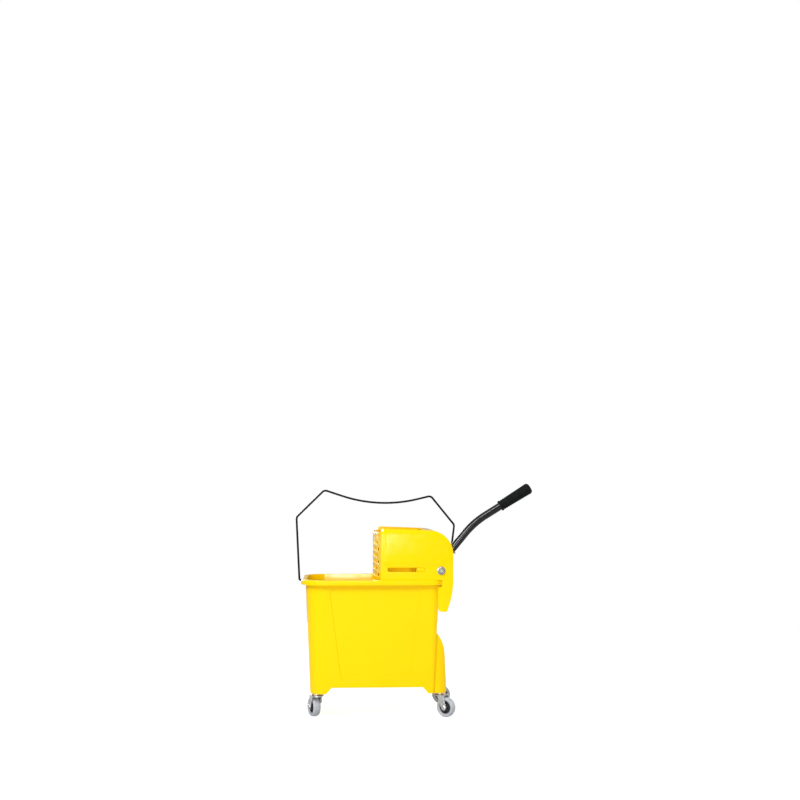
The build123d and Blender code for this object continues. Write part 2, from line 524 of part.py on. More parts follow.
def caster_stem():
    """Stem, upper race and riveted kingpin, which stay with the bucket."""
    stem = rod((0, 0, FOOT_UNDER), (0, 0, FOOT_UNDER + STEM_REACH), STEM_R)
    race = rod((0, 0, RACE_UNDER), (0, 0, FOOT_UNDER), RACE_R)
    race = chamfer(race.edges().group_by(Axis.Z)[0], RACE_DISH)
    low = CROWN_UNDER - KINGPIN_END
    kingpin = rod((0, 0, low), (0, 0, RACE_UNDER), KINGPIN_R)
    return stem + race + kingpin + rod((0, 0, low), (0, 0, CROWN_UNDER - HEAD_GAP), KINGPIN_HEAD_R)


def caster_fork():
    leg_in = WHEEL_WIDTH / 2 + LEG_GAP
    leg_out = leg_in + LEG_WALL
    crown = extrude(Pos(0, 0, CROWN_UNDER) * make_hull(
        Circle(RACE_R).edges() + (Pos(TRAIL / 2, 0) * Rectangle(TRAIL, 2 * leg_out)).edges()
    ), CROWN_TOP - CROWN_UNDER)
    eye = Pos(TRAIL, WHEEL_R) * Circle(EYE_R)
    shoulder = Line((LEG_BACK, CROWN_UNDER), (TRAIL, CROWN_UNDER))
    leg = make_hull(eye.edges() + shoulder.edges()) - Pos(TRAIL, WHEEL_R) * Circle(AXLE_R)
    fork = crown + both_sides(side_slab(leg, leg_in, leg_out))
    return fork - rod((0, 0, 0), (0, 0, RACE_UNDER), KINGPIN_R + RUN_FIT)


def caster_axle():
    out = WHEEL_WIDTH / 2 + LEG_GAP + LEG_WALL
    axle = rod((TRAIL, -out, WHEEL_R), (TRAIL, out, WHEEL_R), AXLE_R)
    axle += rod((TRAIL, -out - AXLE_HEAD, WHEEL_R), (TRAIL, -out, WHEEL_R), AXLE_HEAD_R)
    return axle + hexagon_bar((TRAIL, out, WHEEL_R), (TRAIL, out + AXLE_NUT, WHEEL_R), AXLE_HEAD_R)


def wheel_ring(points):
    """Turned ring about the wheel axle, from an outline of radius and width."""
    ring = revolve(Plane.XZ * make_face(Polyline(*points, close=True).edges()), Axis.Z)
    return Pos(TRAIL, 0, WHEEL_R) * Rot(90, 0, 0) * ring


def caster_hub():
    """Dished core of the wheel, with its boss standing out to the fork."""
    half, bore = WHEEL_WIDTH / 2, AXLE_R + RUN_FIT
    return wheel_ring([
        (bore, -half), (BOSS_R, -half), (CORE_R, -WEB_HALF),
        (CORE_R, WEB_HALF), (BOSS_R, half), (bore, half),
    ])


def caster_tyre():
    half, wall = WHEEL_WIDTH / 2, WHEEL_R - TREAD_DROP
    tread = half - TREAD_EDGE
    return wheel_ring([
        (CORE_R, -WEB_HALF), (wall, -half), (WHEEL_R, -tread),
        (WHEEL_R, tread), (wall, half), (CORE_R, WEB_HALF),
    ])


nodes = {
    "bucket_tub": bucket_tub(),
    "bail_wire": bail_wire(),
    "bail_clips": bail_clips(),
    "wringer_housing": wringer_housing(),
    "strainer_grille": strainer_grille(),
    "press_plate": press_plate(),
    "pivot_tube": pivot_tube(),
    "lever_socket": lever_socket(),
    "lever_tube": lever_tube(),
    "lever_grip": lever_grip(),
    "lever_bolt": lever_bolt(),
    "lever_nut": lever_nut(),
}
for name, side in SIDES.items():
    nodes[f"pivot_bolt_{name}"] = pivot_bolt(side)
    nodes[f"pivot_bush_{name}"] = pivot_bush(side)
    nodes[f"guide_block_{name}"] = guide_block(side)
    nodes[f"cam_pin_{name}"] = cam_pin(side)
    nodes[f"cam_plate_{name}"] = cam_plate(side)
for corner in TRAIL_ANGLE:
    place = caster_frame(corner)
    nodes[f"caster_{corner}_stem"] = place * caster_stem()
    nodes[f"caster_{corner}_fork"] = place * caster_fork()
    nodes[f"caster_{corner}_axle"] = place * caster_axle()
    nodes[f"caster_{corner}_hub"] = place * caster_hub()
    nodes[f"caster_{corner}_tyre"] = place * caster_tyre()

os.makedirs("parts", exist_ok=True)
for name, solid in nodes.items():
    export_step(solid, f"parts/{name}.step")
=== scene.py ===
"""Looks of a mop bucket with a lever wringer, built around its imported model.

Metres. The floor is Z 0, the lever end is towards +X and the far long side towards +Y.
"""
import json
import math

import bpy
from mathutils import Matrix, Vector


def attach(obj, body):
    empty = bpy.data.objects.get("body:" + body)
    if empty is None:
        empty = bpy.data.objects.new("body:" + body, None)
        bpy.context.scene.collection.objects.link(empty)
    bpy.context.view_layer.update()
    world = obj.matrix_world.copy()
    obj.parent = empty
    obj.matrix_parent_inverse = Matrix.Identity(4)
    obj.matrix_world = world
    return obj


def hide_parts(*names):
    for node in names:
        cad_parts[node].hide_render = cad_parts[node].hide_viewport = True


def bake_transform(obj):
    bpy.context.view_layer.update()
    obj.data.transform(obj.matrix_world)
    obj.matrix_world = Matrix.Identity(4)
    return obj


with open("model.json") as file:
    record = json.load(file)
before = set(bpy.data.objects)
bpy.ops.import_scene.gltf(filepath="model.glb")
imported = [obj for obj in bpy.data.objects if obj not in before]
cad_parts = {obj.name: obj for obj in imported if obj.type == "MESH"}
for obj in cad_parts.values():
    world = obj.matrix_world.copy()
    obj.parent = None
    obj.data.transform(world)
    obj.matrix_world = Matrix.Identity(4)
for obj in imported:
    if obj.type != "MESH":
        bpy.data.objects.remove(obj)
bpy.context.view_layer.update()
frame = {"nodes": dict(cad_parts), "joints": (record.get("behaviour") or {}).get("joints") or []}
scene = bpy.context.scene

# Camera
# A normal lens about three metres in front of the bucket and a little above its rim.
# It looks slightly up, so the bucket stands low in the picture.
CAMERA_PLACE = (-0.088, -3.0, 0.567)
CAMERA_TILT = math.radians(95.2)
CAMERA_TURN = math.radians(-2.91)
CAMERA_LENS = 49.0

bpy.ops.object.camera_add(location=CAMERA_PLACE, rotation=(CAMERA_TILT, 0, CAMERA_TURN))
camera = bpy.context.object
camera.data.lens = CAMERA_LENS
scene.camera = camera

# Studio
# A round of white paper under a white sky, with soft lamps: one at the camera, one low beside it,
# a slanting row of three up on the left, broad ones on the right and behind, and one overhead.
PAPER_RADIUS = 2.1
PAPER_GREY = (0.5, 0.5, 0.5, 1)
WHITE = (1, 1, 1, 1)
PAPER_GLOW = 0.15
PAPER_SHOWS = 0.8
SKY_GLOW = 0.42
SKY_SHOWS = 1.0

bpy.ops.mesh.primitive_circle_add(vertices=96, radius=PAPER_RADIUS, fill_type="NGON")
floor = bpy.context.object
floor.name = "studio_floor"
paper = bpy.data.materials.new("white_paper")
paper.use_nodes = True
paper_shader = paper.node_tree.nodes["Principled BSDF"]
paper_shader.inputs["Base Color"].default_value = PAPER_GREY
paper_shader.inputs["Emission Color"].default_value = WHITE
paper_shader.inputs["Roughness"].default_value = 0.9
paper_shader.inputs["Specular IOR Level"].default_value = 0.1
floor.data.materials.append(paper)

sky = bpy.data.worlds.new("white_sky")
sky.use_nodes = True
sky_light = sky.node_tree.nodes["Background"]
sky_light.inputs["Color"].default_value = WHITE
scene.world = sky
scene.view_settings.view_transform = "Standard"


def glow(tree, strength, falling, seen):
    """Light that falls on the bucket at one level and shows white in the picture at another."""
    ray = tree.nodes.new("ShaderNodeLightPath")
    level = tree.nodes.new("ShaderNodeMapRange")
    level.inputs["To Min"].default_value = falling
    level.inputs["To Max"].default_value = seen
    tree.links.new(ray.outputs["Is Camera Ray"], level.inputs["Value"])
    tree.links.new(level.outputs["Result"], strength)


glow(paper.node_tree, paper_shader.inputs["Emission Strength"], PAPER_GLOW, PAPER_SHOWS)
glow(sky.node_tree, sky_light.inputs["Strength"], SKY_GLOW, SKY_SHOWS)

LAMP_AIM = Vector((0.05, 0, 0.3))
# Each lamp's place, width, height and watts.
LAMPS = {
    "eye": ((-0.07, -3.3, 0.55), 0.3, 0.28, 30),
    "low": ((-1.1, -2.9, 0.38), 0.5, 0.5, 8),
    "left_low": ((-1.5, -1.9, 2.0), 0.5, 0.5, 26),
    "left_middle": ((-1.05, -1.9, 2.3), 0.5, 0.5, 16),
    "left_high": ((-0.63, -1.9, 2.65), 0.5, 0.5, 16),
    "right": ((2.4, 0.4, 1.1), 1.2, 1.2, 24),
    "behind": ((-0.9, 2.6, 0.9), 1.0, 1.0, 38),
    "overhead": ((0.2, -0.3, 2.6), 2.0, 2.0, 10),
}
for lamp_name, (place, width, height, watts) in LAMPS.items():
    turn = (LAMP_AIM - Vector(place)).to_track_quat("-Z", "Y").to_euler()
    bpy.ops.object.light_add(type="AREA", location=place, rotation=turn)
    lamp = bpy.context.object
    lamp.name = lamp_name
    lamp.data.shape = "RECTANGLE"
    lamp.data.size = width
    lamp.data.size_y = height
    lamp.data.energy = watts

# Bucket tub
# One injection moulding in glossy yellow polypropylene, with a rolled rim, recessed side
# panels and four feet. Every edge of the mould is a little round.
TUB_EDGE = 0.0007
EAR_MIDDLE_Y = 0.022
EAR_REACH = 0.05
EAR_FOOT_Z = 0.33
RIM_ENDS_X = (-0.193, 0.166)
POD_FROM_X = 0.165
FOOT_TOP_Z = 0.066
SHOULDER_Z = (0.125, 0.17)
YELLOW = (0.91, 0.6, 0.0004)
YELLOW_DEEPER = (0.895, 0.58, 0.0004)
YELLOW_FLECK = (0.93, 0.625, 0.002)
# Painted shade: the darker orange tint laid into corners, creases and recesses, and how far from them it
# reaches.
YELLOW_PAINTED_CORNER_SHADE = (0.74, 0.4, 0.0004)
PAINTED_SHADE_REACH = 0.006


def select_only(piece):
    bpy.ops.object.select_all(action="DESELECT")
    piece.select_set(True)
    bpy.context.view_layer.objects.active = piece


def welded_copy(node, name):
    """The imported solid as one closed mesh, ready to be finished."""
    piece = bpy.data.objects.new(name, frame["nodes"][node].data.copy())
    scene.collection.objects.link(piece)
    piece.data.materials.clear()
    select_only(piece)
    bpy.ops.object.mode_set(mode="EDIT")
    bpy.ops.mesh.select_all(action="SELECT")
    bpy.ops.mesh.remove_doubles(threshold=2e-5)
    bpy.ops.object.mode_set(mode="OBJECT")
    return piece


def round_edges(piece, width, sharp=32, spare=None):
    """Rounds the sharp edges, but not in spared places, and shades the faces between them smoothly."""
    select_only(piece)
    bpy.ops.object.mode_set(mode="EDIT")
    bpy.ops.mesh.select_mode(type="EDGE")
    bpy.ops.mesh.select_all(action="SELECT")
    bpy.ops.mesh.dissolve_limited(angle_limit=math.radians(0.2))
    bpy.ops.mesh.select_all(action="DESELECT")
    bpy.ops.mesh.edges_select_sharp(sharpness=math.radians(sharp))
    bpy.ops.object.mode_set(mode="OBJECT")
    for face in piece.data.polygons:
        face.select = False
    corners = piece.data.vertices
    for edge in piece.data.edges:
        middle = (corners[edge.vertices[0]].co + corners[edge.vertices[1]].co) / 2
        if edge.select and spare and spare(*middle):
            edge.select = False
    bpy.ops.object.mode_set(mode="EDIT")
    bpy.ops.mesh.bevel(offset=width, segments=2, clamp_overlap=False)
    bpy.ops.mesh.select_all(action="SELECT")
    bpy.ops.mesh.remove_doubles(threshold=1e-5)
    bpy.ops.mesh.quads_convert_to_tris(quad_method="BEAUTY", ngon_method="BEAUTY")
    bpy.ops.object.mode_set(mode="OBJECT")
    bpy.ops.object.shade_smooth_by_angle(angle=math.radians(40))
    weighted = piece.modifiers.new("weighted", "WEIGHTED_NORMAL")
    weighted.keep_sharp = True
    bpy.ops.object.modifier_apply(modifier=weighted.name)


def finish_piece(piece, body, material, node):
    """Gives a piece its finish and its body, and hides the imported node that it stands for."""
    piece.data.materials.clear()
    piece.data.materials.append(material)
    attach(piece, body)
    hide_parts(node)


def new_material(name, roughness, metallic=0.0):
    """A material with its shader and the object's own coordinates."""
    made = bpy.data.materials.new(name)
    made.use_nodes = True
    shader = made.node_tree.nodes["Principled BSDF"]
    shader.inputs["Roughness"].default_value = roughness
    shader.inputs["Metallic"].default_value = metallic
    place = made.node_tree.nodes.new("ShaderNodeTexCoord")
    return made, shader, place.outputs["Object"]


def cloud(made, place, scale, detail=2):
    """Noise that drifts over the surface."""
    noise = made.node_tree.nodes.new("ShaderNodeTexNoise")
    noise.inputs["Scale"].default_value = scale
    noise.inputs["Detail"].default_value = detail
    made.node_tree.links.new(place, noise.inputs["Vector"])
    return noise.outputs["Fac"]


def spread(made, value, low, high, start=0.35, end=0.65):
    """Maps a pattern's middle range onto two values."""
    span = made.node_tree.nodes.new("ShaderNodeMapRange")
    span.inputs["From Min"].default_value = start
    span.inputs["From Max"].default_value = end
    span.inputs["To Min"].default_value = low
    span.inputs["To Max"].default_value = high
    made.node_tree.links.new(value, span.inputs["Value"])
    return span.outputs["Result"]


def blended(made, share, first, second):
    """One colour going over into another, as a pattern says."""
    mix = made.node_tree.nodes.new("ShaderNodeMix")
    mix.data_type = "RGBA"
    made.node_tree.links.new(share, mix.inputs["Factor"])
    for socket, colour in (("A", first), ("B", second)):
        target = [i for i in mix.inputs if i.name == socket and i.type == "RGBA"][0]
        if isinstance(colour, tuple):
            target.default_value = (*colour, 1)
        else:
            made.node_tree.links.new(colour, target)
    return [o for o in mix.outputs if o.type == "RGBA"][0]


def uneven_gloss(made, shader, place, scale, detail, low, high):
    """Roughness that drifts between two values."""
    gloss = spread(made, cloud(made, place, scale, detail), low, high)
    made.node_tree.links.new(gloss, shader.inputs["Roughness"])


def relief(made, shader, height, depth, under=None):
    """Bump of a given depth, laid over another bump if there is one."""
    bump = made.node_tree.nodes.new("ShaderNodeBump")
    bump.inputs["Distance"].default_value = depth
    made.node_tree.links.new(height, bump.inputs["Height"])
    if under is not None:
        made.node_tree.links.new(under, bump.inputs["Normal"])
    made.node_tree.links.new(bump.outputs["Normal"], shader.inputs["Normal"])
    return bump.outputs["Normal"]


yellow, yellow_shader, yellow_place = new_material("yellow_polypropylene_painted_shade", 0.3)
yellow_shader.inputs["Specular IOR Level"].default_value = 0.11
drift = spread(yellow, cloud(yellow, yellow_place, 5), 0.0, 1.0)
tint = blended(yellow, drift, YELLOW, YELLOW_DEEPER)
fleck = spread(yellow, cloud(yellow, yellow_place, 420), 0.0, 0.3, 0.5, 0.8)
tint = blended(yellow, fleck, tint, YELLOW_FLECK)
# Painted shade: within a few millimetres of corners, creases and recesses the yellow turns darker and
# more orange, as if in shade.
painted_shade_occlusion = yellow.node_tree.nodes.new("ShaderNodeAmbientOcclusion")
painted_shade_occlusion.inputs["Distance"].default_value = PAINTED_SHADE_REACH
painted_shade_occlusion.only_local = True
painted_corner_shade = spread(yellow, painted_shade_occlusion.outputs["AO"], 1.0, 0.0, 0.45, 0.95)
tint = blended(yellow, painted_corner_shade, tint, YELLOW_PAINTED_CORNER_SHADE)
yellow.node_tree.links.new(tint, yellow_shader.inputs["Base Color"])
uneven_gloss(yellow, yellow_shader, yellow_place, 38, 4, 0.1, 0.18)
wave = relief(yellow, yellow_shader, cloud(yellow, yellow_place, 9), 0.0005)
relief(yellow, yellow_shader, cloud(yellow, yellow_place, 1500), 0.000012, wave)


def blends_in(x, y, z):
    """Places where the mould's shapes already run into each other: bail ears, pod shoulders and feet."""
    ear = abs(y - EAR_MIDDLE_Y) < EAR_REACH and z > EAR_FOOT_Z and not RIM_ENDS_X[0] < x < RIM_ENDS_X[1]
    pod = x > POD_FROM_X and (z < FOOT_TOP_Z or SHOULDER_Z[0] < z < SHOULDER_Z[1])
    return ear or pod


tub = welded_copy("bucket_tub", "tub")
round_edges(tub, TUB_EDGE, spare=blends_in)
finish_piece(tub, "bucket", yellow, "bucket_tub")

# Casters
# Four swivel casters: zinc plated stems and pressed forks, a through bolt for an axle,
# black moulded wheel cores and light grey rubber tyres.
FORK_EDGE = 0.0005
FORK_SHARP = 25
CROWN_UNDERSIDE_Z = 0.0535
SAME_PLACE = 0.001


def mottle(made, shader, place, scale, detail, first, second):
    """Base colour that drifts between two tints."""
    share = spread(made, cloud(made, place, scale, detail), 0.0, 1.0)
    made.node_tree.links.new(blended(made, share, first, second), shader.inputs["Base Color"])


zinc, zinc_shader, zinc_place = new_material("zinc_plate", 0.3, 1.0)
mottle(zinc, zinc_shader, zinc_place, 60, 4, (0.68, 0.7, 0.73), (0.54, 0.55, 0.57))
uneven_gloss(zinc, zinc_shader, zinc_place, 240, 3, 0.22, 0.42)
relief(zinc, zinc_shader, cloud(zinc, zinc_place, 900), 0.00002)

gold_zinc, gold_shader, gold_place = new_material("yellow_passivated_zinc", 0.32, 1.0)
mottle(gold_zinc, gold_shader, gold_place, 90, 4, (0.75, 0.66, 0.42), (0.68, 0.55, 0.38))
relief(gold_zinc, gold_shader, cloud(gold_zinc, gold_place, 900), 0.00002)

rubber, rubber_shader, rubber_place = new_material("grey_tyre_rubber", 0.55)
mottle(rubber, rubber_shader, rubber_place, 130, 4, (0.42, 0.44, 0.48), (0.35, 0.37, 0.41))
relief(rubber, rubber_shader, cloud(rubber, rubber_place, 1800), 0.00004)

core_black, core_shader, core_place = new_material("black_wheel_core", 0.42)
mottle(core_black, core_shader, core_place, 300, 3, (0.014, 0.014, 0.015), (0.03, 0.03, 0.031))
relief(core_black, core_shader, cloud(core_black, core_place, 1500), 0.00003)


def turned(name, outline, steps=64):
    """A piece from the lathe: millimetres of radius and height, spun once about Z."""
    bpy.ops.object.select_all(action="DESELECT")
    bpy.ops.mesh.primitive_plane_add(size=0.001)
    piece = bpy.context.object
    piece.name = name
    bpy.ops.object.mode_set(mode="EDIT")
    bpy.ops.mesh.select_mode(type="VERT")
    bpy.ops.mesh.select_all(action="SELECT")
    bpy.ops.mesh.merge(type="CENTER")
    radius, height = outline[0]
    bpy.ops.transform.translate(value=(radius / 1000, 0, height / 1000))
    for to_radius, to_height in outline[1:] + outline[:1]:
        step = ((to_radius - radius) / 1000, 0, (to_height - height) / 1000)
        bpy.ops.mesh.extrude_region_move(TRANSFORM_OT_translate={"value": step})
        radius, height = to_radius, to_height
    bpy.ops.mesh.select_all(action="SELECT")
    bpy.ops.mesh.spin(steps=steps, angle=2 * math.pi, center=(0, 0, 0), axis=(0, 0, 1))
    bpy.ops.mesh.select_all(action="SELECT")
    bpy.ops.mesh.remove_doubles(threshold=1e-6)
    bpy.ops.mesh.normals_make_consistent(inside=False)
    bpy.ops.object.mode_set(mode="OBJECT")
    return piece


def both_sides(half):
    """An outline that is the same above and below its middle."""
    return half + [(radius, -height) for radius, height in reversed(half)]


def hexagon(name, radius, low, high, chamfer):
    """A six-sided head or nut about Z with its edges chamfered, in millimetres."""
    bpy.ops.object.select_all(action="DESELECT")
    bpy.ops.mesh.primitive_cylinder_add(
        vertices=6,
        radius=radius / 1000,
        depth=(high - low) / 1000,
        location=(0, 0, (low + high) / 2000),
    )
    piece = bpy.context.object
    piece.name = name
    bpy.ops.object.transform_apply(location=True, rotation=True, scale=True)
    bpy.ops.object.mode_set(mode="EDIT")
    bpy.ops.mesh.select_all(action="SELECT")
    bpy.ops.mesh.bevel(offset=chamfer / 1000, segments=2)
    bpy.ops.object.mode_set(mode="OBJECT")
    return piece


def joined(piece, *others):
    """Several shapes made one piece."""
    select_only(piece)
    for other in others:
        other.select_set(True)
    bpy.ops.object.join()
    return piece


def stands_at(piece, place):
    """Puts a finished shape at its place, with that place in its mesh."""
    piece.matrix_world = place
    select_only(piece)
    bpy.ops.object.transform_apply(location=True, rotation=True, scale=True)
    return piece


def twin(piece, name, place):
    """Another one of a piece, with its own mesh."""
    made = bpy.data.objects.new(name, piece.data.copy())
    scene.collection.objects.link(made)
    return stands_at(made, place)


def along(start, direction):
    """Place whose Z runs along a direction."""
    turn = Vector(direction).to_track_quat("Z", "X")
    return Matrix.Translation(start) @ turn.to_matrix().to_4x4()


def shade(piece, angle=35):
    select_only(piece)
    bpy.ops.object.shade_smooth_by_angle(angle=math.radians(angle))


TYRE_HALF = [
    (16.0, 6.0), (17.2, 7.4), (18.2, 8.3), (19.0, 9.4), (20.2, 10.2), (21.4, 10.3), (22.6, 9.6),
    (23.7, 8.2), (24.4, 6.4), (24.8, 4.2), (24.95, 1.6), (24.95, 0.5), (25.0, 0.3),
]
tyre = turned("tyre", both_sides(TYRE_HALF), 96)
shade(tyre, 60)

HUB_HALF = [
    (4.1, 10.5), (6.9, 10.5), (7.5, 9.9), (7.6, 3.6), (8.2, 3.0), (13.6, 2.8), (14.3, 3.3),
    (14.6, 5.8), (16.0, 6.0),
]
RIBS = 6
RIB_FROM = 0.0073
RIB_TO = 0.0146
RIB_THICK = 0.0015
RIB_TALL = 0.0184
RIB_TAPER = 0.63
RIB_EDGE = 0.0002
hub = turned("hub", both_sides(HUB_HALF))
bpy.ops.object.select_all(action="DESELECT")
bpy.ops.mesh.primitive_cube_add(
    size=1,
    location=((RIB_FROM + RIB_TO) / 2, 0, 0),
    scale=(RIB_TO - RIB_FROM, RIB_THICK, RIB_TALL),
)
ribs = bpy.context.object
bpy.ops.object.transform_apply(location=True, rotation=True, scale=True)
bpy.ops.object.mode_set(mode="EDIT")
bpy.ops.mesh.select_mode(type="FACE")
bpy.ops.mesh.select_all(action="DESELECT")
bpy.ops.object.mode_set(mode="OBJECT")
for face in ribs.data.polygons:
    face.select = face.normal.x > 0.9
bpy.ops.object.mode_set(mode="EDIT")
bpy.ops.transform.resize(value=(1, 1, RIB_TAPER), center_override=(RIB_TO, 0, 0))
bpy.ops.mesh.select_all(action="SELECT")
bpy.ops.mesh.bevel(offset=RIB_EDGE, segments=1)
bpy.ops.mesh.select_all(action="SELECT")
bpy.ops.mesh.spin(steps=RIBS, dupli=True, angle=2 * math.pi, center=(0, 0, 0), axis=(0, 0, 1))
bpy.ops.mesh.select_all(action="SELECT")
bpy.ops.mesh.remove_doubles(threshold=1e-6)
bpy.ops.object.mode_set(mode="OBJECT")
hub = joined(hub, ribs)
shade(hub)

RACE = [
    (0, 74), (5.0, 74), (5.5, 73.2), (5.5, 62), (13.9, 62), (14.5, 61.5), (14.5, 60.6), (14.0, 60.1),
    (13.2, 59.9), (13.2, 59.5), (13.9, 59.3), (14.2, 58.8), (13.6, 57.8), (12.0, 57.0), (4.0, 57.0),
    (4.0, 53.1), (6.6, 53.1), (7.0, 52.6), (6.2, 51.5), (4.2, 51.0), (0, 51.0),
]
race = turned("race", RACE)
shade(race)

AXLE = [
    (0, -16.0), (2.6, -15.9), (4.6, -15.3), (5.7, -14.5), (6.0, -13.5), (4.0, -13.5), (4.0, 16.4),
    (3.4, 17.0), (0, 17.0),
]
axle = turned("axle", AXLE)
shade(axle)
axle = joined(axle, hexagon("axle_nut", radius=6.0, low=13.5, high=16.3, chamfer=0.35))


def under_crown(x, y, z):
    """The underside of a fork's crown, where the legs run into it."""
    return abs(z - CROWN_UNDERSIDE_Z) < SAME_PLACE


joint_at = {joint["name"]: joint for joint in frame["joints"]}
for corner in ("fl", "fr", "rl", "rr"):
    swivel = joint_at[f"swivel_{corner}"]
    roll = joint_at[f"roll_{corner}"]
    wheel_place = along(roll["pos_m"], roll["axis"])
    stem_place = Matrix.Translation((swivel["pos_m"][0], swivel["pos_m"][1], 0))
    for shape, part, place, body, slot, material in (
        (race, "stem", stem_place, "bucket", "zinc_yellow", gold_zinc),
        (axle, "axle", wheel_place, f"fork_{corner}", "zinc", zinc),
        (hub, "hub", wheel_place, f"wheel_{corner}", "hub_black", core_black),
        (tyre, "tyre", wheel_place, f"wheel_{corner}", "tyre_grey", rubber),
    ):
        piece = twin(shape, f"{part}_{corner}", place)
        finish_piece(piece, body, material, f"caster_{corner}_{part}")
    fork = welded_copy(f"caster_{corner}_fork", f"fork_{corner}_sheet")
    round_edges(fork, FORK_EDGE, FORK_SHARP, under_crown)
    finish_piece(fork, f"fork_{corner}", zinc, f"caster_{corner}_fork")
for shape in (race, axle, hub, tyre):
    bpy.data.objects.remove(shape)

# Wringer housing and strainer
# Mouldings in the same yellow plastic: a housing of two cheeks, a hood and a slotted drain,
# which hooks over the rim, and the bowed strainer that stands between the cheeks.
WRINGER_EDGE = 0.0005

for node, name in (("wringer_housing", "wringer"), ("strainer_grille", "strainer")):
    piece = welded_copy(node, name)
    round_edges(piece, WRINGER_EDGE)
    finish_piece(piece, "bucket", yellow, node)

# Press
# Ribbed plate of the same plastic that squeezes the mop against the strainer. Its two runners
# slide in the slots of the cheeks, and two plated pins in its arms follow the cams.
PIN_EDGE = 0.0004
RUNNER_ROOT_Y = 0.123

press = welded_copy("press_plate", "press")
round_edges(press, WRINGER_EDGE)
finish_piece(press, "press", yellow, "press_plate")


def runner_root(x, y, z):
    """The root of a runner, where it grows out of its carrier."""
    return abs(abs(y) - RUNNER_ROOT_Y) < SAME_PLACE


for side in ("near", "far"):
    runner = welded_copy(f"guide_block_{side}", f"runner_{side}")
    round_edges(runner, WRINGER_EDGE, spare=runner_root)
    finish_piece(runner, "press", yellow, f"guide_block_{side}")
    pin = welded_copy(f"cam_pin_{side}", f"pin_{side}")
    round_edges(pin, PIN_EDGE)
    finish_piece(pin, "press", zinc, f"cam_pin_{side}")

# Pivot tube, bushes and cams
# Zinc plated steel tube across the wringer, with nylon bushes in its ends and two plated cam
# plates welded to it. Their curved slots push the pins of the press.
TURNED_EDGE = 0.0004

nylon, nylon_shader, nylon_place = new_material("natural_nylon", 0.4)
mottle(nylon, nylon_shader, nylon_place, 120, 2, (0.78, 0.76, 0.7), (0.7, 0.68, 0.61))

for node, name, slot, material in (
    ("pivot_tube", "cross_tube", "zinc", zinc),
    ("pivot_bush_near", "bush_near", "nylon", nylon),
    ("pivot_bush_far", "bush_far", "nylon", nylon),
    ("cam_plate_near", "cam_near", "zinc", zinc),
    ("cam_plate_far", "cam_far", "zinc", zinc),
):
    piece = welded_copy(node, name)
    round_edges(piece, TURNED_EDGE)
    finish_piece(piece, "lever", material, node)

# Lever
# Bent steel tube in gloss black paint, in a painted socket that is welded to the pivot tube.
# A plated cross bolt and its nut hold it there.
PIVOT = Vector((0.1657, 0, 0.3805))
WELD_REACH = 0.047
SOCKET_EDGE = 0.0005
TUBE_EDGE = 0.0003

paint, paint_shader, paint_place = new_material("black_gloss_paint", 0.2)
paint_shader.inputs["Specular IOR Level"].default_value = 0.42
mottle(paint, paint_shader, paint_place, 50, 3, (0.003, 0.003, 0.0035), (0.006, 0.006, 0.0065))
uneven_gloss(paint, paint_shader, paint_place, 90, 4, 0.12, 0.22)
relief(paint, paint_shader, cloud(paint, paint_place, 320), 0.00004)


def inside_weld(x, y, z):
    """The welded foot of the socket, round the pivot tube and the bolt's seats."""
    return math.hypot(x - PIVOT.x, z - PIVOT.z) < WELD_REACH


socket = welded_copy("lever_socket", "socket")
round_edges(socket, SOCKET_EDGE, spare=inside_weld)
finish_piece(socket, "lever", paint, "lever_socket")
for node, name, slot, material, width in (
    ("lever_tube", "lever", "black_paint", paint, TUBE_EDGE),
    ("lever_bolt", "cross_bolt", "zinc", zinc, TURNED_EDGE),
    ("lever_nut", "cross_nut", "zinc", zinc, TURNED_EDGE),
):
    piece = welded_copy(node, name)
    round_edges(piece, width)
    finish_piece(piece, "lever", material, node)

# Grip
# Sleeve of black rubber, pushed on the end of the lever. It has a bead at its mouth, thirteen
# rings that widen towards the tip, and a rounded closed end. Its outline is in millimetres.
GRIP_TIP = Vector((0.4198, 0, 0.5963))
GRIP_RUN = Vector((0.1518, 0, 0.0937)).normalized()
GRIP_LENGTH = 98.0
GRIP_CAP = 5.0
GRIP_BORE = 10.4
RINGS = 13
RING_FROM = 8.0
RING_PITCH = 6.0
RING_DEPTH = 0.9
CREST_AT_MOUTH = 13.6
CREST_GROWTH = 2.0
CREST_RUN = 86

grip_black, grip_shader, grip_place = new_material("black_grip_rubber", 0.6)
grip_shader.inputs["Specular IOR Level"].default_value = 0.06
mottle(grip_black, grip_shader, grip_place, 180, 4, (0.005, 0.0055, 0.006), (0.01, 0.0105, 0.011))
relief(grip_black, grip_shader, cloud(grip_black, grip_place, 1300, 3), 0.00008)

sleeve = [
    (0, GRIP_LENGTH), (0, GRIP_LENGTH - GRIP_CAP), (GRIP_BORE, GRIP_LENGTH - GRIP_CAP), (GRIP_BORE, 0),
    (14.0, 0), (14.6, 0.6), (14.6, 4.4), (14.0, 5.2), (13.3, 6.4),
]
for ring in range(RINGS):
    foot = RING_FROM + RING_PITCH * ring
    crest = CREST_AT_MOUTH + CREST_GROWTH * (foot + 2) / CREST_RUN
    valley = crest - RING_DEPTH
    sleeve += [(valley, foot), (crest, foot + 1.0), (crest, foot + 4.0), (valley, foot + 5.0)]
sleeve += [(15.4, 87.0), (15.8, 88.0), (15.6, 91.0), (14.8, 94.0), (12.8, 96.6), (10.6, GRIP_LENGTH)]
grip = turned("grip", sleeve)
shade(grip, 50)
stands_at(grip, along(GRIP_TIP - GRIP_RUN * (GRIP_LENGTH - GRIP_CAP) / 1000, GRIP_RUN))
finish_piece(grip, "lever", grip_black, "lever_grip")

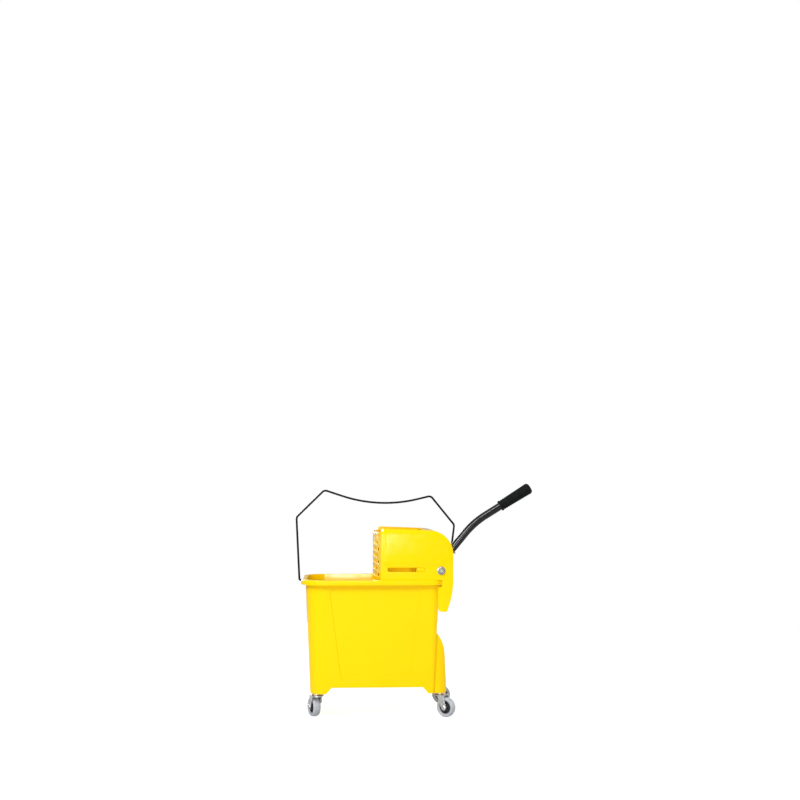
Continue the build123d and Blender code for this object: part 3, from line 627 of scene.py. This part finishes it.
# Pivot bolts
# Two steel bolts through the cheeks, on which the pivot tube turns. Each has a plain shank and a
# flanged hexagon head with a dished top.
BOLT_SEAT_Y = 0.13
SHANK_AND_FLANGE = [
    (0, -26), (5.4, -26), (6.0, -25.4), (6.0, 0), (10.6, 0), (11.0, 0.4), (11.0, 1.2), (10.4, 1.8),
    (8.0, 2.0), (0, 2.0),
]
DISH = [(0, 6.9), (3.4, 6.9), (4.4, 7.5), (5.2, 7.5), (5.8, 7.1), (0, 7.0)]

steel, steel_shader, steel_place = new_material("bolt_steel", 0.3, 1.0)
mottle(steel, steel_shader, steel_place, 260, 4, (0.27, 0.27, 0.26), (0.205, 0.205, 0.195))
uneven_gloss(steel, steel_shader, steel_place, 700, 3, 0.2, 0.45)
relief(steel, steel_shader, cloud(steel, steel_place, 1600), 0.00002)

bolt_head = turned("bolt_head", SHANK_AND_FLANGE)
shade(bolt_head)
crown = hexagon("bolt_crown", radius=8.5, low=2.0, high=7.2, chamfer=1.0)
dish = turned("bolt_dish", DISH)
shade(dish)
bolt_head = joined(bolt_head, crown, dish)
for side, outward in (("near", -1), ("far", 1)):
    seat = along((PIVOT.x, BOLT_SEAT_Y * outward, PIVOT.z), (0, outward, 0))
    bolt = twin(bolt_head, f"pivot_{side}", seat)
    finish_piece(bolt, "bucket", steel, f"pivot_bolt_{side}")
bpy.data.objects.remove(bolt_head)

# Return spring
# Torsion spring of plated wire, wound round the pivot tube. One end stands against the rail on
# the rim, the other hooks under the lever. The real coil winds up as the lever comes down; here the wire
# is one still shape.
WIRE_R = 0.00125
COIL_R = 0.01335
COIL_STEPS = 118
COIL_FROM = math.radians(-104)
COIL_TO = math.radians(117 - 8 * 360)
COIL_NEAR = -0.046
COIL_END = -0.024
STANDING_LEG = ((172.4, -46, 357.2), (172.4, -46, 361.5), (172.4, -46, 365.2), (168, -46, 366.6))
HOOKED_LEG = (
    (7.3, -23.6, 18.6), (20.7, -23.5, 25.4), (34.0, -23.5, 32.3), (45.3, -23.5, 38.1),
    (48.9, -23.5, 39.9), (48.9, -19.5, 39.9), (48.9, -6, 39.9), (48.9, 9, 39.9),
)

spring_line = [Vector(place) / 1000 for place in STANDING_LEG]
for step in range(COIL_STEPS + 1):
    share = step / COIL_STEPS
    turn = COIL_FROM + (COIL_TO - COIL_FROM) * share
    sideways = COIL_NEAR + (COIL_END - COIL_NEAR) * share
    spring_line.append(PIVOT + Vector((COIL_R * math.cos(turn), sideways, COIL_R * math.sin(turn))))
spring_line += [PIVOT + Vector(place) / 1000 for place in HOOKED_LEG]

bpy.ops.object.select_all(action="DESELECT")
bpy.ops.curve.primitive_nurbs_path_add()
spring = bpy.context.object
spring.name = "return_spring"
wire = spring.data.splines[0]
wire.points.add(len(spring_line) - len(wire.points))
for point, place in zip(wire.points, spring_line):
    point.co = (*place, 1)
wire.order_u = 3
wire.use_endpoint_u = True
wire.resolution_u = 3
spring.data.bevel_depth = WIRE_R
spring.data.bevel_resolution = 3
spring.data.use_fill_caps = True
bpy.ops.object.convert(target="MESH")
bpy.ops.object.mode_set(mode="EDIT")
bpy.ops.mesh.select_all(action="SELECT")
bpy.ops.mesh.remove_doubles(threshold=1e-6)
bpy.ops.mesh.normals_make_consistent(inside=False)
bpy.ops.object.mode_set(mode="OBJECT")
shade(spring, 60)
spring.data.materials.clear()
spring.data.materials.append(zinc)
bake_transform(spring)

# Bail
# Carrying handle of bent steel wire with a black coating, whose ends hook through the rim.
# Two plated clips, pushed on under the rim, keep it there.
BAIL_EDGE = 0.0003

coating, coating_shader, coating_place = new_material("black_wire_coating", 0.3)
coating_shader.inputs["Specular IOR Level"].default_value = 0.12
mottle(
    coating, coating_shader, coating_place, 70, 3, (0.0025, 0.0025, 0.003), (0.005, 0.005, 0.0055)
)
uneven_gloss(coating, coating_shader, coating_place, 140, 4, 0.2, 0.36)
relief(coating, coating_shader, cloud(coating, coating_place, 650), 0.00004)

for node, name, slot, material in (
    ("bail_wire", "bail", "black_wire", coating),
    ("bail_clips", "bail_clip_pair", "zinc", zinc),
):
    piece = welded_copy(node, name)
    round_edges(piece, BAIL_EDGE)
    finish_piece(piece, "bail", material, node)
